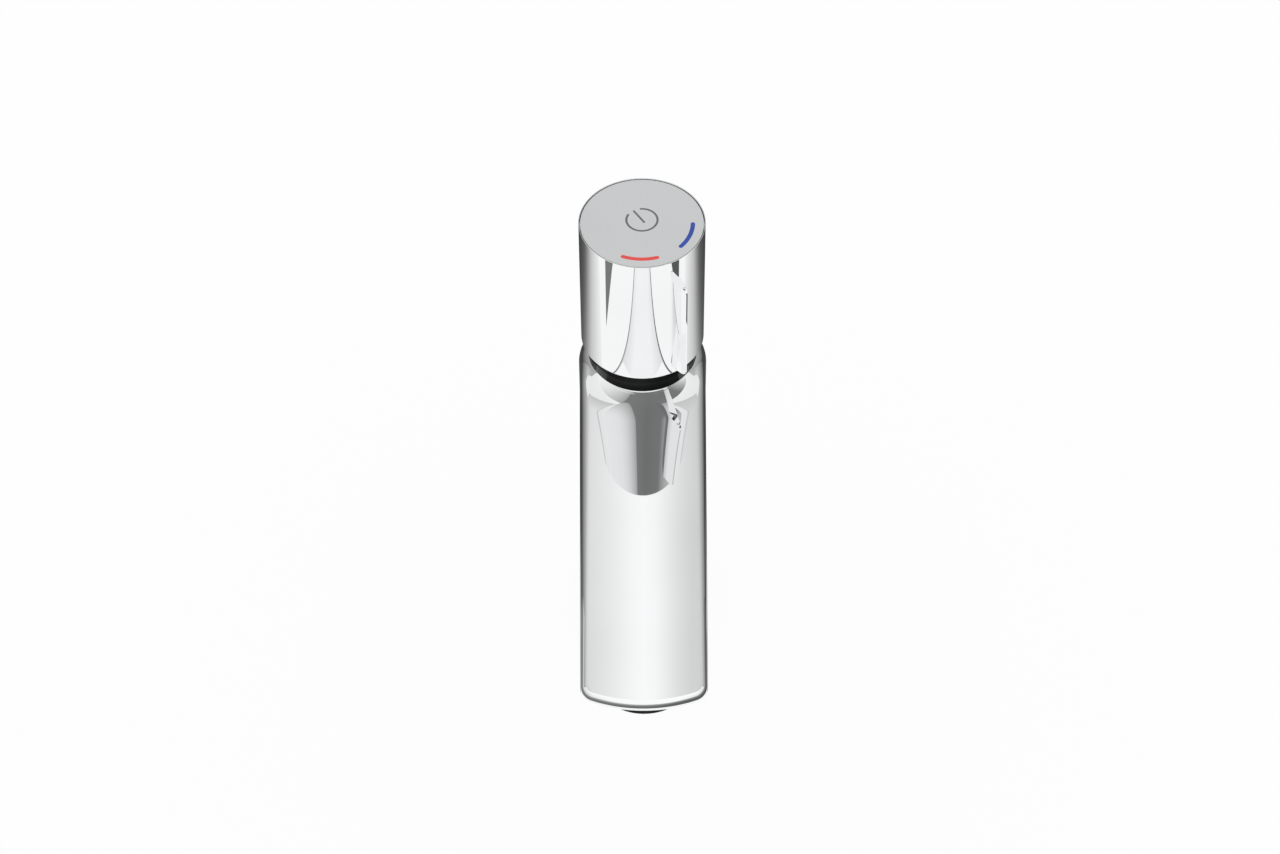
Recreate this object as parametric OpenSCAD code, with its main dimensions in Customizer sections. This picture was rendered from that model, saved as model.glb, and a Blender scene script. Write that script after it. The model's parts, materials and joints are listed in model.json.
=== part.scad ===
// Basin mixer tap: turn the knob for temperature, press its top for on and off.
// Frame: origin on the deck under the middle of the body, +Z up, spout towards -Y.
// Heights inside the body are measured from its rim and written as depth below it.

/* [Body] */
// Diameter of the upright body
body_d = 42; // [41:0.5:45]
// Height of the body rim above the deck
body_h = 127; // [120:1:138]
// Rounding of the rim edge
rim_round = 2.8; // [1.6:0.2:3.2]
// Wall of the hollow foot of the body
foot_wall = 3.5; // [3:0.25:4]
// Thickness of the inlet block between the chamber and the hollow foot
block_t = 20; // [17:1:24]

/* [Spout] */
// Reach from the body axis to the front edge of the tip
spout_reach = 134.9; // [128:1:150]
// Fall of the top line towards the tip, degrees
spout_slope = 5.4; // [5:0.1:6]
// Step from the rim down to the top of the spout
spout_step = 0.6; // [0.4:0.1:1]
// Width of the spout at its tip
tip_w = 38.3; // [37:0.5:40]
// Radius of the crown across the top
crown_r = 250; // [150:10:400]
// Rounding along the two top edges
side_round = 3.5; // [2.5:0.5:4.5]
// Radius of the front edge, seen from above
tip_arc_r = 28; // [26:1:40]
// Radius of the two corners of the tip, seen from above
tip_corner_r = 4.4; // [3.5:0.1:6]
// Rounding of the top front edge
tip_edge_r = 2.1; // [1.5:0.1:2.5]
// Depth of the underside below the rim, on the body axis
root_depth = 36.6; // [35:0.5:39]
// Radius of the hollow where the underside meets the body
root_fillet = 24; // [18:1:28]
// Bore of the waterway through the spout
waterway_d = 8.4; // [7:0.2:9]

/* [Aerator] */
// Outside diameter of the aerator housing
aerator_d = 24; // [23:0.5:24.5]
// Lean of the jet towards the front, degrees
aerator_tilt = 20; // [18:1:22]
// Distance of the outlet from the front edge of the tip
outlet_back = 15.7; // [15.5:0.1:17]
// Depth of the outlet below the top edge of the tip
outlet_drop = 15.5; // [15.3:0.1:17]
// Length of the housing that stands out of the spout
aerator_proud = 3.9; // [3.5:0.1:4.5]
// Length of the housing inside the spout
aerator_seat = 6.5; // [6:0.1:7]
// Number of grip ribs round the housing
grip_ribs = 36; // [24:4:40]

/* [Knob] */
// Diameter of the knob
knob_d = 40; // [39.5:0.5:41]
// Height of the knob
knob_h = 51.2; // [50:0.2:54]
// Height of the black neck seen between rim and knob
neck_h = 8.4; // [7:0.2:10]
// Diameter of the black neck
neck_d = 35.3; // [35:0.1:35.5]
// Wall of the knob shell
knob_wall = 1.8; // [1.6:0.1:1.9]
// Metal left round the button at the top of the knob
button_rim = 0.4; // [0.4:0.1:0.8]
// Travel of the button
button_travel = 3; // [2.6:0.1:3.2]
// Thickness of the button
button_t = 2.2; // [1.8:0.1:2.6]

/* [Fin] */
// Direction of the fin from the front, towards the right, degrees
fin_azimuth = 33; // [0:1:45]
// Length of the fin outside the knob
fin_reach = 5.6; // [4.6:0.2:8]
// Thickness of the fin where it leaves the knob
fin_t = 3.2; // [2.4:0.1:4]
// Thickness of the fin at its outer edge
fin_edge = 0.5; // [0.4:0.1:1]
// Distance of the fin below the top of the knob
fin_top = 9; // [8.5:0.1:12]
// Distance of the fin above the bottom of the knob
fin_foot = 3; // [2:0.5:5]
// Rounding of the outer corners of the fin
fin_round = 2; // [1:0.5:4]

/* [Marks] */
// Radius of the red and blue arcs
mark_r = 16; // [14.5:0.1:17]
// Width of the red and blue arcs
mark_w = 1.4; // [0.8:0.1:1.6]
// Angle that each arc spans, degrees
mark_span = 39; // [30:1:50]
// Angle from the fin to the middle of each arc, degrees
mark_offset = 35.5; // [30:0.5:45]
// Radius of the on and off mark
power_r = 4.9; // [4:0.1:6.5]
// Line width of the on and off mark
power_w = 0.7; // [0.4:0.1:0.9]
// Distance of the on and off mark behind the middle of the button
power_back = 1.3; // [0:0.1:2]
// Length of the bar of the on and off mark past the middle of its ring
power_tail = 1.5; // [1:0.1:2.5]
// Half of the opening in the ring of the on and off mark, degrees
power_gap = 25.5; // [20:0.5:35]
// Depth of the marks in the button
mark_depth = 0.3; // [0.2:0.1:0.5]

/* [Cartridge] */
// Bore of the cartridge chamber
chamber_d = 32.8; // [32.6:0.2:33.2]
// Depth of the chamber floor below the rim
chamber_depth = 47; // [46.5:0.5:48]
// Radius of the cartridge under its collar
cartridge_r = 14.6; // [14.4:0.1:14.8]
// Distance of the two inlets from the middle, sideways
port_x = 7.5; // [7.4:0.1:7.8]
// Distance of the two inlets from the middle, backwards
port_y = 4; // [3.8:0.1:4.6]
// Radius of the inlet ports
port_r = 2.8; // [2.5:0.1:2.9]
// Radius of the ceramic discs
disc_r = 12.9; // [12.5:0.1:13]
// Radius of the turning spindle
spindle_r = 8.5; // [8.3:0.1:8.7]
// Radius of the shut-off rod
rod_r = 1.6; // [1.4:0.1:1.7]
// Radius of the push stem under the button
stem_r = 4; // [3.8:0.1:4.2]
// Opening of the shut-off valve when the button is down
valve_lift = 2.5; // [2:0.1:2.5]
// Turn of the knob to each side of the middle, degrees
half_turn = 50; // [45:1:52]

/* [Fixing] */
// Thickness of the deck that the tap is clamped to
deck_t = 18; // [10:1:40]
// Radius of the fixing stud, M8
stud_r = 4; // [3.8:0.1:4]
// Distance of the stud from the axis, towards the front
stud_y = 10; // [9.5:0.5:11]
// Free stud below the fixing nut
stud_spare = 14; // [8:1:30]
// Radius of the threaded inlets for the hoses, M10x1
inlet_r = 5; // [4.8:0.1:5]
// Depth of the threaded inlets
inlet_depth = 12; // [10:1:13]
// Radius of the clamp plate
plate_r = 25; // [23:0.5:27]

/* [Fits] */
// Gap between pieces that stay together
fit = 0.05; // [0.04:0.01:0.08]
// Gap between pieces that slide or turn on each other
run = 0.06; // [0.04:0.01:0.08]

/* [Hidden] */
$fn = 96;
over = 5;
body_r = body_d / 2;
knob_r = knob_d / 2;
neck_r = neck_d / 2;
root_w = body_d - 0.2;
root_top = body_h - spout_step;
tip_top = root_top - (spout_reach - body_r) * tan(spout_slope);
outlet_y = spout_reach - outlet_back;
outlet_z = tip_top - outlet_drop;
aerator_r = aerator_d / 2;
aerator_top = aerator_proud + aerator_seat;
aerator_seal_t = 1.1;
strainer_r = aerator_r - 1.75;
rib_r = 0.46;
rib_h = 0.25;
boss_r = aerator_r + 2.2;
upper_cell_r = 8;
upper_cell = 3;
waterway_r = waterway_d / 2;
waterway_depth = 26;
floor_z = body_h - chamber_depth;
block_z = floor_z - block_t;
foot_r = body_r - foot_wall;
gasket_in = foot_r + 0.65;
gasket_r = foot_r + 2.55;
clip_r = foot_r + 1.1;
clip_w = 1.6;
clip_t = 1.5;
clip_gap = 14;
block_groove = 3;
block_groove_r = foot_r - 1.45;
stud_grip = 11;
pin_y = 11;
pin_r = 1.5;
chamber_r = chamber_d / 2;
chamber_groove_r = chamber_r - 1.4;
flange_r = chamber_r + 0.5;
nut_r = chamber_r + 0.6;
nut_low = 14.5;
nut_high = 7;
nut_hole_r = 1.5;
flange_low = 17;
collar_low = 22;
chamber_groove = (flange_low + collar_low) / 2;
key_w = 1.6;
key_out = 1;
key_play = 0.1;
half_circle = 180;
neck_seat = 6;
neck_bevel = 0.8;
bevel_z = body_h + 3.6;
bevel_h = 1.3;
neck_bore = neck_r - 2.1;
neck_above = 12;
housing_bore = disc_r + 0.6;
housing_low = 41;
housing_neck_r = 11.8;
housing_top = 6;
disc_low = 33;
disc_mid = 28;
disc_top = 23.5;
mix_half = 60;
drive_y = 9;
drive_r = 1.2;
spindle_shoulder = 18;
spindle_groove = 7.8;
spindle_groove_r = spindle_r - 1.4;
rod_groove = 11.1;
rod_groove_r = rod_r + 1.3;
valve_r = 4.2;
seat_r = 3;
seat_t = 2;
plug_t = 2.5;
plug_pin_r = 2;
plug_pin_h = 1.6;
head_top = body_h - disc_low - seat_t - 1.4;
head_low = head_top - 1.6;
port_seal_wire = 0.5;
outlet_port_r = 2.6;
outlet_port = 38;
knob_low = body_h + neck_h;
knob_high = knob_low + knob_h;
low_edge = 0.4;
top_edge = 0.2;
button_edge = 0.15;
knob_bore = knob_r - knob_wall;
button_bore = knob_r - button_rim;
button_r = button_bore - 0.1;
button_top = knob_high - 0.2;
button_low = button_top - button_t;
button_seat = button_low - button_travel - 0.6;
boss_low = button_low - 7.2;
boss_out = 8.4;
spring_r = boss_out + 1.2;
spring_wire = 0.6;
hub_low = body_h + 8;
hub_r = 14;
plate_low = knob_low + 15.6;
plate_high = plate_low + 6;
foot_low = plate_high + 3;
ledge_w = 2.5;
guide_top = boss_low - button_travel - 1;
guide_r = 7.4;
spindle_top = plate_high - 2;
cell_r = 5.6;
cell_low = body_h - 4;
rotor_r = 4.8;
rotor_low = body_h;
rotor_top = body_h + 6.8;
tooth_h = 1.2;
tooth_half = 15;
rib_half = 0.8;
stem_play = button_travel - valve_lift;
stem_low = rotor_top + tooth_h + stem_play;
sleeve_top = body_h + 14;
flat_r = spindle_r - 1.1;
flat_cut = [2 * knob_r, knob_r, knob_h];
grub_r = 2;
grub_z = body_h + 16;
limit_low = body_h - nut_high;
limit_mid = limit_low + 4;
limit_top = limit_low + 8.5;
lug_half = 8;
stop_play = 2;
limit_r = 14.5;
gasket_low = -deck_t - 3;
plate_bottom = gasket_low - 3;
nut_t = 9;
nut_across = 13;
nut_corner_r = nut_across / 2 / cos(30);
nut_collar = 2;
nut_bottom = plate_bottom - nut_t;
stud_low = nut_bottom - stud_spare;
slot_half = port_x + inlet_r + 0.4;
slot_front = port_y - inlet_r - 0.4;
slot_corner = 4;
base_gasket_t = 1.6;
filter_r = port_r + 0.9;
filter_t = 2;
filter_ring = 2;
filter_hole_r = 0.7;

// Depth of the crown below its middle line
function crown_drop(x) = crown_r - sqrt(crown_r * crown_r - x * x);

// Height of the underside line of the spout at a distance from the axis
function under_z(u) = body_h - root_depth + u * under_rise;
boss_back_y = outlet_y - boss_r * cos(aerator_tilt) - aerator_proud * sin(aerator_tilt);
boss_back_z = outlet_z - boss_r * sin(aerator_tilt) + aerator_proud * cos(aerator_tilt);
under_rise = (boss_back_z - body_h + root_depth) / boss_back_y;

// A tube between two heights
module tube(ro, ri, z0, z1) {
  translate([0, 0, z0])
    difference() {
      cylinder(r = ro, h = z1 - z0);
      translate([0, 0, -1]) cylinder(r = ri, h = z1 - z0 + 2);
    }
}

// A rod between two heights
module rod(r, z0, z1) {
  translate([0, 0, z0]) cylinder(r = r, h = z1 - z0);
}

// A turned piece: its outline in radius and height, spun round the axis
module lathe(outline) {
  rotate_extrude() polygon(outline);
}

// A sealing ring lying flat
module seal_ring(rad, wire, z) {
  translate([0, 0, z])
    rotate_extrude()
      translate([rad, 0]) circle(wire);
}

// A wedge of a ring, centred on the front and turned by an azimuth
module sector(ro, ri, z0, z1, half, azimuth) {
  translate([0, 0, z0])
    rotate([0, 0, azimuth - 90 - half])
      rotate_extrude(angle = 2 * half)
        translate([ri, 0]) square([ro - ri, z1 - z0]);
}

// A coil spring: a ring of points for each step along the helix, skinned into a tube
module coil(rad, wire, z0, z1, turns) {
  round_n = 10;
  steps = 26 * turns;
  rise = (z1 - z0 - 2 * wire) / steps;
  points = [for (i = [0 : steps], j = [0 : round_n - 1])
    let (a = 360 * i * turns / steps, b = 360 * j / round_n, r = rad + wire * cos(b))
      [r * cos(a), r * sin(a), z0 + wire + rise * i + wire * sin(b)]];
  function at(i, j) = i * round_n + j % round_n;
  skin = [for (i = [0 : steps - 1], j = [0 : round_n - 1], t = [0, 1])
    t == 0 ? [at(i, j), at(i + 1, j), at(i + 1, j + 1)]
      : [at(i, j), at(i + 1, j + 1), at(i, j + 1)]];
  start = [for (j = [0 : round_n - 1]) at(0, j)];
  end = [for (j = [round_n - 1 : -1 : 0]) at(steps, j)];
  polyhedron(points = points, faces = concat(skin, [start, end]));
}

// Places children on the jet axis, with the outlet rim at zero and up into the spout
module on_jet() {
  translate([0, -outlet_y, outlet_z])
    rotate([-aerator_tilt, 0, 0]) children();
}

// Thin slice across the spout, with a crowned top and four rounded edges
module slice(u, w, top, low) {
  reach_x = w / 2 - side_round;
  low_round = 1.2;
  translate([0, -u, 0])
    rotate([90, 0, 0]) {
      for (s = [-1, 1]) {
        translate([s * reach_x, top - crown_drop(reach_x) - side_round, 0])
          cylinder(r = side_round, h = 0.02, $fn = 40);
        translate([s * (w / 2 - low_round), low + low_round, 0])
          cylinder(r = low_round, h = 0.02, $fn = 16);
      }
      linear_extrude(height = 0.02)
        polygon(concat([for (i = [-8 : 8]) [reach_x * i / 8, top - crown_drop(reach_x * i / 8)]],
          [[reach_x, top - 8], [-reach_x, top - 8]]));
    }
}

// Round pad with a rounded top edge, one of those that set out the tip
module tip_pad() {
  rotate_extrude($fn = 48)
    intersection() {
      translate([tip_corner_r - tip_edge_r, 0]) circle(tip_edge_r, $fn = 32);
      square([tip_corner_r, tip_edge_r]);
    }
}

// Outside of the spout: wide, crowned, tapering and rounded at the tip
module spout_skin() {
  row_r = tip_arc_r - tip_corner_r;
  end_x = tip_w / 2 - tip_corner_r;
  end_a = asin(end_x / row_r);
  hull() {
    slice(1.5, root_w, root_top, under_z(1.5));
    slice(body_r, root_w, root_top, under_z(body_r));
    for (i = [-5 : 5])
      let (a = end_a * i / 5, x = row_r * sin(a), back = tip_arc_r - row_r * cos(a))
        translate([x, -spout_reach + back, tip_top + back * tan(spout_slope) - crown_drop(x)])
          rotate([spout_slope, 0, 0])
            translate([0, 0, -tip_edge_r]) tip_pad();
    on_jet() translate([0, 0, aerator_proud]) cylinder(r = boss_r, h = 0.3, $fn = 64);
  }
}

// Hollow curve from the underside of the spout into the round body
module root_curve() {
  arc_u = body_r + root_fillet;
  arc_z = under_z(arc_u) - root_fillet;
  intersection() {
    difference() {
      rod(arc_u - 0.4, arc_z, under_z(body_r) + 4);
      translate([0, 0, arc_z])
        rotate_extrude()
          translate([arc_u, 0]) circle(root_fillet);
    }
    linear_extrude(height = body_h)
      polygon([[-root_w / 2 + 0.1, -2], [root_w / 2 - 0.1, -2],
        [root_w / 2 - 0.9, -arc_u - 1], [-root_w / 2 + 0.9, -arc_u - 1]]);
  }
}

// Upright part of the body with its rounded rim
module column() {
  rod(body_r, 0, body_h - rim_round);
  rod(body_r - rim_round, body_h - rim_round - 1, body_h);
  translate([0, 0, body_h - rim_round])
    rotate_extrude()
      translate([body_r - rim_round, 0])
        intersection() {
          circle(rim_round);
          square(rim_round);
        }
}

module spout_body() {
  color("silver")
    difference() {
      union() {
        column();
        spout_skin();
        root_curve();
      }
      // Chamber, thread of the nut and seat of the neck
      rod(chamber_r, floor_z - 1, body_h + over);
      rod(nut_r + fit, body_h - flange_low, body_h + over);
      rod(neck_r + fit, body_h - neck_seat, body_h + over);
      // Hollow foot, groove of the retaining ring and groove of the gasket
      rod(foot_r, -over, floor_z);
      rod(clip_r + 0.1, block_z - clip_t - fit, block_z);
      tube(gasket_r + fit, gasket_in - fit, -over, base_gasket_t);
      // Waterway and aerator seat
      translate([0, -chamber_r + 1.5, body_h - waterway_depth])
        rotate([90 - waterway_lean, 0, 0]) cylinder(r = waterway_r, h = waterway_l);
      on_jet() {
        rod(aerator_r + fit, -12, aerator_top);
        rod(upper_cell_r, aerator_top - 1, aerator_top + upper_cell);
      }
    }
}
waterway_end_y = outlet_y - (aerator_top + 0.6) * sin(aerator_tilt);
waterway_end_z = outlet_z + (aerator_top + 0.6) * cos(aerator_tilt) - 0.6;
waterway_dy = waterway_end_y - chamber_r + 1.5;
waterway_dz = waterway_end_z - body_h + waterway_depth;
waterway_lean = atan(waterway_dz / waterway_dy);
waterway_l = norm([waterway_dy, waterway_dz]);

module inlet_block() {
  color("goldenrod")
    difference() {
      rod(foot_r - fit, block_z, floor_z);
      // Groove of the seal round the block
      tube(foot_r + 1, block_groove_r, floor_z - block_groove - 1, floor_z - block_groove + 1);
      translate([0, -stud_y, 0]) rod(stud_r, block_z - over, block_z + stud_grip + 1);
      for (s = [-1, 1])
        translate([s * port_x, port_y, 0]) {
          rod(inlet_r, block_z - over, block_z + inlet_depth);
          rod(filter_r, block_z, block_z + inlet_depth + filter_t);
          rod(port_r, block_z, floor_z + over);
        }
      // Locating holes for the cartridge
      for (s = [-1, 1])
        translate([0, s * pin_y, 0]) rod(pin_r + 0.1, floor_z - 3, floor_z + over);
    }
}

module block_seal() {
  color([0.1, 0.1, 0.1])
    seal_ring((foot_r + block_groove_r) / 2, (foot_r - block_groove_r) / 2 - 0.03,
      floor_z - block_groove);
}

// Open spring ring that holds the inlet block up against its shoulder
module retaining_ring() {
  color("gray")
    sector(clip_r, foot_r - clip_w, block_z - clip_t, block_z,
      half_circle - clip_gap, 0);
}

module neck_ring() {
  low = body_h - neck_seat;
  top = body_h + neck_above;
  color([0.02, 0.02, 0.02])
    lathe([[neck_bore, low], [neck_r, low], [neck_r, bevel_z],
      [neck_r - neck_bevel, bevel_z + bevel_h], [neck_r - neck_bevel, top], [neck_bore, top]]);
}

module clamp_nut() {
  color("gold")
    difference() {
      tube(nut_r, housing_neck_r + 0.3, body_h - nut_low, body_h - nut_high);
      for (i = [0 : 5])
        rotate([0, 0, 60 * i + 30])
          translate([0, nut_r - 1.8, body_h - nut_high - 3])
            cylinder(r = nut_hole_r, h = over);
    }
}

module limit_ring() {
  color("white")
    difference() {
      tube(limit_r, housing_neck_r + fit, limit_low, limit_top);
      // Gap that the lug of the knob swings in
      sector(limit_r + 1, housing_neck_r - 1, limit_mid, limit_top + 1,
        half_turn + lug_half + stop_play, half_circle);
      // Slot for the key of the housing
      translate([-key_w / 2 - key_play, -housing_neck_r - key_out - 2 * key_play, limit_low - over])
        cube([key_w + 2 * key_play, 2 * key_out + 4 * key_play, 4 * over]);
    }
}

module cartridge_housing() {
  low = body_h - housing_low;
  collar = body_h - collar_low;
  flange = body_h - flange_low;
  nut = body_h - nut_low;
  top = body_h + housing_top;
  groove = body_h - chamber_groove;
  color("dimgray")
    difference() {
      union() {
        lathe([[0, low], [cartridge_r, low], [cartridge_r, collar], [chamber_r - fit, collar],
          [chamber_r - fit, flange], [flange_r, flange], [flange_r, nut],
          [housing_neck_r, nut], [housing_neck_r, top], [0, top]]);
        // Key for the limit ring
        translate([-key_w / 2, -housing_neck_r - key_out, limit_low])
          cube([key_w, 2 * key_out, limit_mid - limit_low]);
      }
      rod(housing_bore, low - over, body_h - spindle_shoulder + 0.2);
      rod(spindle_r + run, body_h - spindle_shoulder - 1, top + over);
      tube(chamber_r + 1, chamber_groove_r, groove - 1, groove + 1);
      translate([0, 0, body_h - outlet_port])
        rotate([90, 0, 0]) cylinder(r = outlet_port_r + 0.6, h = body_r);
    }
  // Keys for the fixed disc
  color("dimgray")
    for (s = [-1, 1])
      translate([s * (housing_bore + 0.1), 0, 0])
        rod(1, body_h - disc_low, body_h - disc_mid);
}

module cartridge_base() {
  color("whitesmoke")
    difference() {
      union() {
        rod(cartridge_r, floor_z, body_h - housing_low);
        rod(housing_bore - fit, body_h - housing_low - 1, body_h - disc_low);
        for (s = [-1, 1])
          translate([0, s * pin_y, 0]) rod(pin_r, floor_z - 2.6, floor_z + 1);
      }
      for (s = [-1, 1])
        translate([s * port_x, port_y, 0]) {
          rod(port_r, floor_z - over, body_h - disc_low + over);
          rod(port_r + 2.4 * port_seal_wire, floor_z - over, floor_z + 2 * port_seal_wire);
        }
      rod(seat_r, floor_z, body_h - disc_low + over);
      rod(valve_r, floor_z - over, body_h - disc_low - seat_t);
      translate([0, 0, body_h - outlet_port])
        rotate([90, 0, 0]) cylinder(r = outlet_port_r, h = body_r);
    }
}

module base_plug() {
  color("whitesmoke") {
    rod(valve_r - 0.02, floor_z + fit, floor_z + plug_t);
    rod(plug_pin_r, floor_z + plug_t - 0.5, floor_z + plug_t + plug_pin_h);
  }
}

module fixed_disc() {
  color("ivory")
    difference() {
      rod(disc_r, body_h - disc_low, body_h - disc_mid);
      rod(seat_r, body_h - disc_low - over, body_h - disc_mid + over);
      for (s = [-1, 1]) {
        translate([s * port_x, port_y, 0])
          rod(port_r, body_h - disc_low - over, body_h - disc_mid + over);
        translate([s * (housing_bore + 0.1), 0, 0])
          rod(1.1, body_h - disc_low - over, body_h - disc_mid + over);
      }
    }
}

module port_seal() {
  seal_ring(port_r + 1.25 * port_seal_wire, port_seal_wire, floor_z + port_seal_wire);
}

module hot_port_seal() {
  color([0.1, 0.1, 0.1])
    translate([-port_x, port_y, 0]) port_seal();
}

module cold_port_seal() {
  color([0.1, 0.1, 0.1])
    translate([port_x, port_y, 0]) port_seal();
}

module chamber_seal() {
  color([0.1, 0.1, 0.1])
    seal_ring((chamber_r + chamber_groove_r) / 2, (chamber_r - chamber_groove_r) / 2 - 0.03,
      body_h - chamber_groove);
}

module valve_spring() {
  color("lightgray")
    coil(valve_r - 1.5, 0.35, floor_z + plug_t, head_low, 3);
}

// Fine strainer at the end of each inlet
module inlet_filter() {
  color("steelblue")
    translate([0, port_y, block_z + inlet_depth + 0.02])
      difference() {
        cylinder(r = filter_r - 0.03, h = filter_t - 0.04);
        for (i = [0 : 5])
          rotate([0, 0, 60 * i])
            translate([filter_ring, 0, -1]) cylinder(r = filter_hole_r, h = filter_t + 2);
        translate([0, 0, -1]) cylinder(r = filter_hole_r, h = filter_t + 2);
      }
}

module hot_inlet_filter() {
  translate([-port_x, 0, 0]) inlet_filter();
}

module cold_inlet_filter() {
  translate([port_x, 0, 0]) inlet_filter();
}

module aerator_housing() {
  color([0.03, 0.03, 0.03])
    on_jet()
      difference() {
        union() {
          lathe([[0, 0], [aerator_r - rib_h - 0.4, 0], [aerator_r - rib_h, 0.4],
            [aerator_r - rib_h, aerator_proud], [aerator_r, aerator_proud],
            [aerator_r, aerator_top - aerator_seal_t], [0, aerator_top - aerator_seal_t]]);
          for (i = [0 : grip_ribs - 1])
            rotate([0, 0, 360 * i / grip_ribs])
              translate([aerator_r - rib_r - 0.06, 0, 0]) rod(rib_r, 0.6, aerator_proud + 0.4);
        }
        rod(strainer_r + fit, -over, aerator_top - 2.6);
        rod(strainer_r - 1.5, 0, aerator_top + over);
      }
}

module aerator_strainer() {
  // Rings of holes, six more in each ring than in the one inside it
  ring_gap = strainer_r / 4.8;
  hole_r = 0.37 * ring_gap;
  color("gray")
    on_jet()
      difference() {
        union() {
          rod(strainer_r, 0.9, 3.4);
          tube(strainer_r, strainer_r - 1.2, 3, aerator_top - 2.7);
        }
        for (k = [1 : 4])
          for (i = [0 : 6 * k - 1])
            rotate([0, 0, 60 * i / k])
              translate([ring_gap * k, 0, 0]) rod(hole_r, 0, over);
        rod(hole_r, 0, over);
      }
}

module aerator_seal() {
  color([0.12, 0.12, 0.12])
    on_jet()
      tube(aerator_r - 0.1, upper_cell_r, aerator_top - aerator_seal_t + fit, aerator_top - 0.02);
}

module base_gasket() {
  color([0.1, 0.1, 0.1])
    tube(gasket_r, gasket_in, 0, base_gasket_t - 0.02);
}

module fixing_stud() {
  color("lightgray")
    translate([0, -stud_y, 0]) {
      lathe([[0, stud_low], [stud_r - 0.8, stud_low], [stud_r - 0.02, stud_low + 0.78],
        [stud_r - 0.02, block_z + stud_grip], [0, block_z + stud_grip]]);
    }
}

// Horseshoe under the deck: open to the back for the hoses, with a short slot for the stud
module horseshoe(low, high) {
  hole_r = stud_r + 0.3;
  slide = 4;
  translate([0, 0, low])
    linear_extrude(height = high - low)
      difference() {
        circle(plate_r);
        translate([-slot_half, slot_front + slot_corner]) square([2 * slot_half, plate_r]);
        translate([slot_corner - slot_half, slot_front])
          square([2 * slot_half - 2 * slot_corner, 2 * slot_corner]);
        for (s = [-1, 1])
          translate([s * (slot_half - slot_corner), slot_front + slot_corner])
            circle(slot_corner);
        translate([0, -stud_y - slide]) circle(hole_r);
        translate([-hole_r, -stud_y - slide]) square([2 * hole_r, slide]);
        translate([0, -stud_y]) circle(hole_r);
      }
}

module under_gasket() {
  color([0.1, 0.1, 0.1])
    horseshoe(gasket_low + 0.02, -deck_t);
}

module clamp_plate() {
  color("lightgray")
    horseshoe(plate_bottom, gasket_low);
}

module fixing_nut() {
  color("gold")
    translate([0, -stud_y, nut_bottom])
      difference() {
        union() {
          cylinder(r = nut_corner_r, h = nut_t - nut_collar, $fn = 6);
          cylinder(r = nut_across / 2 - 0.2, h = nut_t - 0.02);
        }
        translate([0, 0, -over]) cylinder(r = stud_r, h = nut_t + 2 * over);
      }
}

module handle_shell() {
  color("silver")
    difference() {
      lathe([[0, knob_low], [knob_r - low_edge, knob_low], [knob_r, knob_low + low_edge],
        [knob_r, knob_high - top_edge], [knob_r - top_edge, knob_high], [0, knob_high]]);
      rod(knob_bore, knob_low - over, plate_high);
      rod(knob_bore - ledge_w, plate_high - 1, foot_low);
      rod(knob_bore, plate_high + 2, button_seat + 1);
      rod(button_bore, button_seat, knob_high + over);
      // Slot of the fin and hole for the key of the grub screw
      rotate([0, 0, fin_azimuth])
        translate([-fin_t / 2 - 0.02, -knob_r - 1, fin_z0 - 0.02])
          cube([fin_t + 0.04, 6, fin_z1 - fin_z0 + 0.04]);
      rotate([0, 0, fin_azimuth])
        translate([0, hub_r, grub_z])
          rotate([-90, 0, 0]) cylinder(r = grub_r + 0.3, h = knob_r);
    }
}
fin_z0 = knob_low + fin_foot;
fin_z1 = knob_high - fin_top;

module temperature_fin() {
  r0 = knob_bore + 0.1;
  r1 = knob_r + fin_reach;
  foot_half = 3;
  foot_t = 1.4;
  foot_high = fin_z1 - 1;
  foot_x = sqrt(knob_bore * knob_bore - foot_half * foot_half) - fit;
  shoulder = sqrt(knob_r * knob_r - fin_t * fin_t / 4);
  color("silver")
    rotate([0, 0, fin_azimuth - 90]) {
      intersection() {
        // Outline from the side
        rotate([90, 0, 0])
          translate([0, 0, -fin_t])
            linear_extrude(height = 2 * fin_t) {
              translate([r0, fin_z0]) square([r1 - fin_round - r0, fin_z1 - fin_z0]);
              translate([r0, fin_z0 + fin_round])
                square([r1 - r0, fin_z1 - fin_z0 - 2 * fin_round]);
              translate([r1 - fin_round, fin_z1 - fin_round]) circle(fin_round);
              translate([r1 - fin_round, fin_z0 + fin_round]) circle(fin_round);
              translate([foot_x - foot_t + 0.2, foot_low])
                square([foot_half, foot_high - foot_low]);
            }
        // Outline from above: parallel in the slot, then a wedge
        translate([0, 0, fin_z0 - over])
          linear_extrude(height = fin_z1 - fin_z0 + 2 * over)
            polygon([[hub_r, -fin_t / 2], [shoulder, -fin_t / 2], [r1 + 0.01, -fin_edge / 2],
              [r1 + 0.01, fin_edge / 2], [shoulder, fin_t / 2], [hub_r, fin_t / 2]]);
      }
      // Foot behind the wall of the knob
      translate([foot_x - foot_t, -foot_half, foot_low])
        cube([foot_t, 2 * foot_half, foot_high - foot_low]);
    }
}

module handle_adapter() {
  color([0.15, 0.15, 0.15])
    difference() {
      union() {
        rod(hub_r, hub_low, plate_low + 1);
        rod(knob_bore - fit, plate_low, plate_high - 0.02);
        rod(guide_r, plate_high - 1, guide_top);
        sector(limit_r - 0.2, housing_neck_r + 0.4, limit_mid + 0.4, hub_low + 1,
          lug_half, fin_azimuth + 180);
      }
      difference() {
        rod(spindle_r + fit, hub_low - 1, spindle_top + 0.1);
        rotate([0, 0, fin_azimuth])
          translate([-knob_r, flat_r + fit, hub_low - 2]) cube(flat_cut);
      }
      rod(stem_r + run, spindle_top - 1, guide_top + 1);
      rotate([0, 0, fin_azimuth])
        translate([0, flat_r, grub_z])
          rotate([-90, 0, 0]) cylinder(r = grub_r, h = hub_r);
    }
}

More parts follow.
